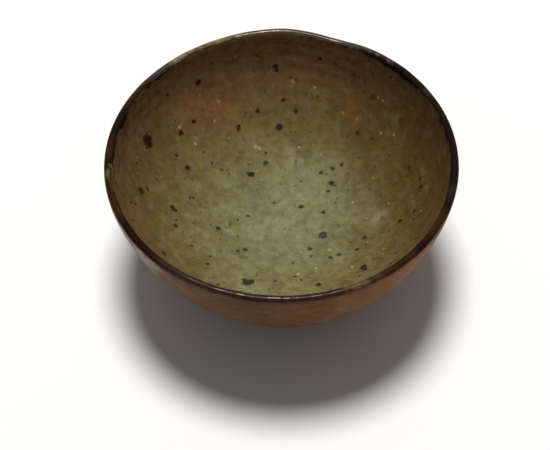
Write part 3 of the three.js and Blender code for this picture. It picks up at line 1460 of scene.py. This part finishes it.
@dataclass(frozen=True)
class IronGlaze(Finish):
    """Iron oxide painted over the lip and fired.

    It is glossy and nearly black, purple-brown where it lies thick and olive brown where it breaks thin, and
    it has dried out in places.

    Attributes:
        section: The bowl's section, which places the blots.
        stops: Distance from the back of the bowl, and the colour there.
        washes: Where it breaks thin, with a pale olive stretch over the back of the lip that is partly
            painted highlight, and small painted yellow-green glints on the left of the lip.
        dry: Where it has dried out.
        dry_softness: The share of such a place's radius over which it fades, to each side of its edge.
        dry_roughness: The roughness there.
        dry_sheen: The specular level there.
        back_roughness: The roughness at the back of the bowl.
        back_sheen: The specular level there, where the glaze is the most glossy.
        clouds: The large clouds in the glaze.
        mottle: The small ones, which also stand in relief.
        clouding: How much the large clouds lighten and darken the glaze.
        mottling: How much the small ones do.
        drift: How large the rags in the washes' edges are, and how far they reach.
        thin: The colour past the iron's edge.
        thin_reach: Where that starts and where it is whole, above the edge.
        breaks: The clouds by which its gloss is broken.
        break_values: Their values where the gloss starts to break and where it is the most broken.
        broken: How dry the gloss is where it is the most broken, at the back and in front.
        tint: What the glaze makes of a reflected white.
        mottle_depth: How deep the mottle's relief is.
    """

    section: ThrownSection
    stops: tuple[tuple[float, str], ...] = (
        (0, "2e2312"), (8, "241a0e"), (20, "161008"), (60, "160d06"), (90, "190b05"), (120, "1f0a06"),
    )
    washes: tuple[Layer, ...] = (
        Layer("4e3818", 0.3, 0.9, ((302, -0.6, 5), (308, -0.6, 6), (314, -0.6, 5))),
        Layer("6b5430", 0.7, 0.8, ((293.5, 0.2, 4.5), (290, 0.4, 3), (296.3, -0.1, 2.4))),
        Layer("746a3c", 0.65, 0.9, ((187.5, 0.9, 4), (184, 1.1, 2.6))),
        # Pale olive over the back of the lip, where its gloss is dried out: partly thin glaze, partly a
        # painted highlight.
        Layer("867c5b", 0.8, 0.8, (
            (106.5, -0.9, 4.8), (110, -1, 5.4), (113.5, -1, 5.4), (117, -1, 5.4), (120.5, -1, 5.2),
            (124, -0.9, 5), (127.5, -0.7, 4.8), (131, -0.5, 3.8),
        )),
        Layer("38260a", 0.65, 0.8, ((176, 0, 9), (150, 0, 14), (200, 0.6, 12), (330, 0.6, 12))),
        # Small yellow-green dots on the outer edge of the lip at the left: painted glints.
        Layer("5d5d34", 0.5, 0.9, ((150, -0.9, 2), (146.5, -0.9, 2.4), (142.5, -0.9, 1.8))),
    )
    dry: tuple[Blot, ...] = (
        (324, 0, 46), (8, 0, 50), (40, 0, 20), (52.5, 1.3, 4.6), (56, 1.3, 4.4), (59.5, 1.3, 4.6),
        (117, -0.4, 20), (207, 0, 46), (180, 0, 36), (155, 0, 26),
    )
    dry_softness: float = 0.3
    dry_roughness: float = 0.5
    dry_sheen: float = 0.03
    back_roughness: float = 0.2
    back_sheen: float = 0.42
    clouds: Texture = Texture(7.0)
    mottle: Texture = Texture(1.6, 3.0)
    clouding: float = 0.3
    mottling: float = 0.4
    drift: tuple[float, float] = (3.0, 2.5)
    thin: str = "3e2d1c"
    thin_reach: tuple[float, float] = (0.25, -0.45)
    breaks: Texture = Texture(3.0, 2.0, 0.5)
    break_values: tuple[float, float] = (0.46, 0.58)
    broken: tuple[float, float] = (0.25, 0.5)
    tint: str = "fff1e1"
    mottle_depth: float = 0.006

    def paint(self, tree: Tree, shader: bpy.types.Node, place: Socket) -> None:
        """Adds the graded ground, where it breaks, its thin edge and its broken gloss.

        Args:
            tree: The material's node tree.
            shader: Its shader.
            place: Object coordinates.
        """
        depth = add(tree, Kind.ATTRIBUTE, {}, "Fac", attribute_name=Mark.DEPTH.value)
        clouds = add(tree, Kind.NOISE, self.clouds.on(place))
        mottle = add(tree, Kind.NOISE, self.mottle.on(place))
        scale = (0.0, -1 / MM, 0.0)
        back = (0.0, self.section.rim_radius, 0.0)
        from_back = add(tree, Kind.VECTOR_MATH, {0: place, 1: scale, 2: back}, operation="MULTIPLY_ADD")
        reach = add(tree, Kind.VECTOR_MATH, {0: from_back}, "Value", operation="LENGTH")
        colour = graded(tree, reach, self.stops)
        drifting = torn(tree, place, *self.drift)
        colour = painted(tree, colour, [layer.drawn(tree, drifting, self.section) for layer in self.washes])
        start, whole = self.thin_reach
        inputs = {"Value": iron_run(tree, place, depth), "From Min": start, "From Max": whole}
        past = add(tree, Kind.RANGE, inputs, **EASED)
        colour = painted(tree, colour, ((past, self.thin),))
        colour = varied(tree, colour, ((clouds, self.clouding), (mottle, self.mottling)))
        tree.links.new(colour, shader.inputs["Base Color"])
        breaks = add(tree, Kind.NOISE, self.breaks.on(place))
        to_front = {"Value": reach, "From Max": 2 * self.section.rim_radius}
        at_back, in_front = self.broken
        most = add(tree, Kind.RANGE, to_front | {"To Min": at_back, "To Max": in_front}, "Result")
        start, whole = self.break_values
        inputs = {"Value": breaks, "From Min": start, "From Max": whole, "To Max": most}
        broken = add(tree, Kind.RANGE, inputs, **EASED)
        dry = blotted(tree, drifting, self.section, self.dry, 1.0, self.dry_softness)
        dry = add(tree, Kind.MATH, {0: dry, 1: broken}, operation="MAXIMUM")
        glosses = (
            ("Roughness", self.back_roughness, self.roughness, self.dry_roughness),
            ("Specular IOR Level", self.back_sheen, self.sheen, self.dry_sheen),
        )
        for name, at_back, in_front, where_dry in glosses:
            glossy = add(tree, Kind.RANGE, to_front | {"To Min": at_back, "To Max": in_front}, "Result")
            inputs = {"Value": dry, "To Min": glossy, "To Max": where_dry}
            tree.links.new(add(tree, Kind.RANGE, inputs, "Result"), shader.inputs[name])
        shader.inputs["Specular Tint"].default_value = linear(self.tint)
        relief(tree, shader, mottle, self.mottle_depth)


@dataclass(frozen=True)
class BareStoneware(Finish):
    """Unglazed stoneware, turned on the wheel and fired in reduction: matte, gritty and toasted brown.

    Attributes:
        clay: The clay's own colour.
        toasted: Where the flame has browned it.
        flashed: The red line just below the glaze.
        grit: The specks of grog in it.
        flash_depth: The depth of that line below the lip, on the outside.
        flash_reach: How far it fades to each side.
        flash_strength: How much of the clay's own colour it hides.
        clouds: The clouds in the clay.
        grain: Its grain, which also stands in relief.
        toast_values: The clouds' values where the browning starts and where it is whole.
        clouding: How much the clouds lighten and darken the clay.
        graining: How much the grain does.
        grain_depth: How deep the grain's relief is.
    """

    clay: str = "6e5443"
    toasted: str = "54392a"
    flashed: str = "6a3a22"
    grit: Specks = Specks("2f2019", 0.8, 1.7, 0.35, 0.35, 0.005)
    flash_depth: float = 57.0
    flash_reach: float = 3.5
    flash_strength: float = 0.7
    clouds: Texture = Texture(8.0, 5.0)
    grain: Texture = Texture(0.5, 3.0, 0.7)
    toast_values: tuple[float, float] = (0.35, 0.65)
    clouding: float = 0.15
    graining: float = 0.35
    grain_depth: float = 0.1

    def paint(self, tree: Tree, shader: bpy.types.Node, place: Socket) -> None:
        """Adds the clay's clouds, the flashing, the grain and the grit.

        Args:
            tree: The material's node tree.
            shader: Its shader.
            place: Object coordinates.
        """
        depth = add(tree, Kind.ATTRIBUTE, {}, "Fac", attribute_name=Mark.DEPTH.value)
        clouds = add(tree, Kind.NOISE, self.clouds.on(place))
        grain = add(tree, Kind.NOISE, self.grain.on(place))
        start, whole = self.toast_values
        toasted = add(tree, Kind.RANGE, {"Value": clouds, "From Min": start, "From Max": whole}, "Result")
        away = add(tree, Kind.MATH, {0: depth, 1: self.flash_depth}, operation="SUBTRACT")
        near = add(tree, Kind.MATH, {0: away}, operation="ABSOLUTE")
        inputs = {"Value": near, "From Min": self.flash_reach, "From Max": 0.0, "To Max": self.flash_strength}
        flashed = add(tree, Kind.RANGE, inputs, **EASED)
        coats = ((toasted, self.toasted), (flashed, self.flashed))
        colour = painted(tree, linear(self.clay), coats)
        colour = varied(tree, colour, ((clouds, self.clouding), (grain, self.graining)))
        colour = painted(tree, colour, ((self.grit.drawn(tree, place), self.grit.colour),))
        tree.links.new(colour, shader.inputs["Base Color"])
        relief(tree, shader, grain, self.grain_depth)


@dataclass
class Studio:
    """A plain pale floor, one soft lamp almost overhead, a pale surround and the camera.

    Attributes:
        section: The bowl's section, which places the camera's aim.
        floor_size: The floor's side.
        floor_colour: Six hex digits.
        floor_roughness: Of its paper.
        lamp_distance: From the middle of the floor.
        lamp_tilt: Degrees from straight up, towards the back.
        lamp_turn: Degrees from straight up, towards the left.
        lamp_size: Across the lamp.
        lamp_power: In watts.
        lamp_colour: Linear red, green and blue.
        surround: The strength of the light from all round.
        camera_distance: From the middle of the rim.
        sight_elevation: The camera's height over the rim, in degrees.
        image_width: Of the photograph, in pixels.
        image_height: Of the photograph, in pixels.
        focal_px: The focal length in pixels.
        rim_centre_px: Where the middle of the rim falls in the photograph.
        sensor_mm: The camera's sensor width.
    """

    section: ThrownSection
    floor_size: float = 3000.0
    floor_colour: str = "fbfbfb"
    floor_roughness: float = 0.9
    lamp_distance: float = 3000.0
    lamp_tilt: float = 12.0
    lamp_turn: float = 1.5
    lamp_size: float = 950.0
    lamp_power: float = 85.0
    lamp_colour: tuple[float, float, float] = (1.0, 0.99, 0.975)
    surround: float = 0.14
    camera_distance: float = 550.0
    sight_elevation: float = 49.675
    image_width: int = 550
    image_height: int = 450
    focal_px: float = 1628.4
    rim_centre_px: tuple[float, float] = (283.87, 156.07)
    sensor_mm: float = 36.0

    def build(self) -> None:
        """Sets the floor, the lamp, the surround and the camera."""
        self._floor()
        self._lamp()
        self._surround()
        self._camera()
        bpy.context.scene.view_settings.view_transform = "Standard"

    def _floor(self) -> None:
        """Lays the floor and dresses it."""
        mesh = bmesh.new()
        bmesh.ops.create_grid(mesh, x_segments=2, y_segments=2, size=self.floor_size / 2 * MM)
        data = bpy.data.meshes.new("floor")
        mesh.to_mesh(data)
        mesh.free()
        # Matte paper: it takes the shadow and gives no gloss.
        material = bpy.data.materials.new("floor_paper_matte")
        material.use_nodes = True
        shader = material.node_tree.nodes["Principled BSDF"]
        shader.inputs["Base Color"].default_value = linear(self.floor_colour)
        shader.inputs["Roughness"].default_value = self.floor_roughness
        shader.inputs["Specular IOR Level"].default_value = 0.0
        data.materials.append(material)
        floor = placed("floor", data)

    def _lamp(self) -> None:
        """Hangs the lamp, a little towards the back and the left."""
        data = bpy.data.lights.new("softbox", "AREA")
        data.shape = "DISK"
        data.size = self.lamp_size * MM
        data.energy = self.lamp_power
        data.color = self.lamp_colour
        lamp = placed("softbox", data)
        turned = Euler((-math.radians(self.lamp_tilt), -math.radians(self.lamp_turn), 0))
        lamp.location = turned.to_matrix() @ Vector((0, 0, self.lamp_distance * MM))
        lamp.rotation_euler = turned

    def _surround(self) -> None:
        """Sets the pale light from all round, and the floor's colour where the camera or a gloss sees it."""
        world = bpy.data.worlds.new("pale_surround")
        world.use_nodes = True
        tree = world.node_tree
        light = tree.nodes["Background"]
        light.inputs["Color"].default_value = (1, 1, 1, 1)
        light.inputs["Strength"].default_value = self.surround
        behind = add(tree, Kind.BACKGROUND, {"Color": linear(self.floor_colour), "Strength": 1.0})
        seen = add(tree, Kind.LIGHT_PATH, {}, "Is Camera Ray")
        rays = seen.node.outputs
        for ray in ("Is Glossy Ray", "Is Transmission Ray"):
            seen = add(tree, Kind.MATH, {0: seen, 1: rays[ray]}, operation="MAXIMUM")
        mixed = add(tree, Kind.MIX_SHADER, {0: seen, 1: light.outputs[0], 2: behind})
        tree.links.new(mixed, tree.nodes["World Output"].inputs["Surface"])
        bpy.context.scene.world = world

    def _camera(self) -> None:
        """Sets the camera so that the rim's middle falls where the photograph has it."""
        data = bpy.data.cameras.new("camera")
        data.sensor_width = self.sensor_mm
        data.lens = self.focal_px * self.sensor_mm / self.image_width
        camera = placed("camera", data)
        sight = math.radians(self.sight_elevation)
        right = (self.rim_centre_px[0] - self.image_width / 2) / self.focal_px
        above = (self.image_height / 2 - self.rim_centre_px[1]) / self.focal_px
        away = Vector((0, -math.cos(sight), math.sin(sight))) * self.camera_distance
        aim = Vector((-right * self.camera_distance, 0, self.section.height))
        camera.location = (aim + away) * MM
        camera.rotation_euler = Euler((math.pi / 2 - sight - math.atan(above), 0, 0))
        bpy.context.scene.camera = camera


def lining_glaze(section: ThrownSection, kiln: Kiln) -> AshGlaze:
    """Gives the lining's finish.

    Args:
        section: The bowl's section.
        kiln: What the firing left on the bowl.

    Returns:
        The finish.
    """
    # Wood-ash glaze, satin as fired: it scatters the light, so the mottle shows and no lamp is reflected.
    return AshGlaze(
        "ash_glaze_inside_satin",
        roughness=0.6,
        sheen=0.04,
        section=section,
        stops=(
            (0, "866a4a"), (8, "6f573a"), (20, "695434"), (28, "655531"), (36, "675c35"),
            (45, "6e663f"), (55, "746e49"), (65, "787554"), (80, "7d7a5a"),
        ),
        washes=kiln.blushes,
        patches=(
            Patches("807e58", 0.22, 5.0, 0.5, 0.72, 0.21),
            Patches("5c4820", 0.29, 3.4, 0.5, 0.7, 0.34),
        ),
        specks=(
            Specks("201b08", 0.85, 3.2, 0.65, 0.85, 0.003),
            Specks("352e12", 0.5, 1.9, 0.5, 0.7, 0.041),
            Specks("b5ad84", 0.4, 2.6, 0.4, 0.5, 0.077),
        ),
        grit=kiln.lining_grit,
    )


def outer_glaze(section: ThrownSection, kiln: Kiln) -> AshGlaze:
    """Gives the outer coat's finish.

    Args:
        section: The bowl's section.
        kiln: What the firing left on the bowl.

    Returns:
        The finish.
    """
    # The same glaze, thin over the brown clay: satin and warmer, and paler at the left, partly its own tone
    # and partly painted reflection of the pale surround.
    return ToneAndSheenAshGlaze(
        "ash_glaze_outside_satin",
        roughness=0.6,
        sheen=0.06,
        section=section,
        stops=(
            # The pale stop at the left edge is partly painted reflection of the pale surround on the grazing
            # wall, partly the glaze's own tone.
            (4, "998c7b"), (19, "6e513a"), (31, "5f462e"), (45, "5c422d"), (60, "5c4228"),
            (69, "5f4328"), (76, "6c4c33"), (89, "74502f"), (116, "855d38"),
        ),
        washes=kiln.outer_blushes_and_sheen,
        patches=(Patches("63574a", 0.4, 7.0, 0.5, 0.72, 0.21), Patches("6b3c1e", 0.25, 5.0, 0.5, 0.7, 0.34)),
        specks=(Specks("1e150d", 0.6, 3.4, 0.5, 0.65, 0.013), Specks("2f2216", 0.35, 2.2, 0.4, 0.6, 0.057)),
        grit=kiln.outer_grit,
        clouding=0.4,
        mottling=0.32,
    )


def main() -> None:
    """Loads the frame, builds the bowl's pieces and the studio, and logs each piece's faces and finish."""
    logging.basicConfig(level=logging.INFO, format="%(message)s")
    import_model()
    section = ThrownSection()
    kiln = Kiln()
    # Bare turned stoneware: matte and gritty, with hardly a gleam.
    clay = BareStoneware("stoneware_bare_turned", roughness=0.85, sheen=0.2).material()
    # Fired iron glaze: dark, with small sharp lights where it is glossy.
    iron = IronGlaze("iron_glaze_fired_gloss", roughness=0.16, sheen=0.2, section=section).material()
    StonewareBody(section, kiln).build(clay)
    TurnedFoot(section, kiln).build(clay)
    OuterCoat(section, kiln).build(outer_glaze(section, kiln).material())
    LipBand(section, kiln).build(iron)
    Lining(section, kiln).build(lining_glaze(section, kiln).material())
    Studio(section).build()


if __name__ == "__main__":
    main()
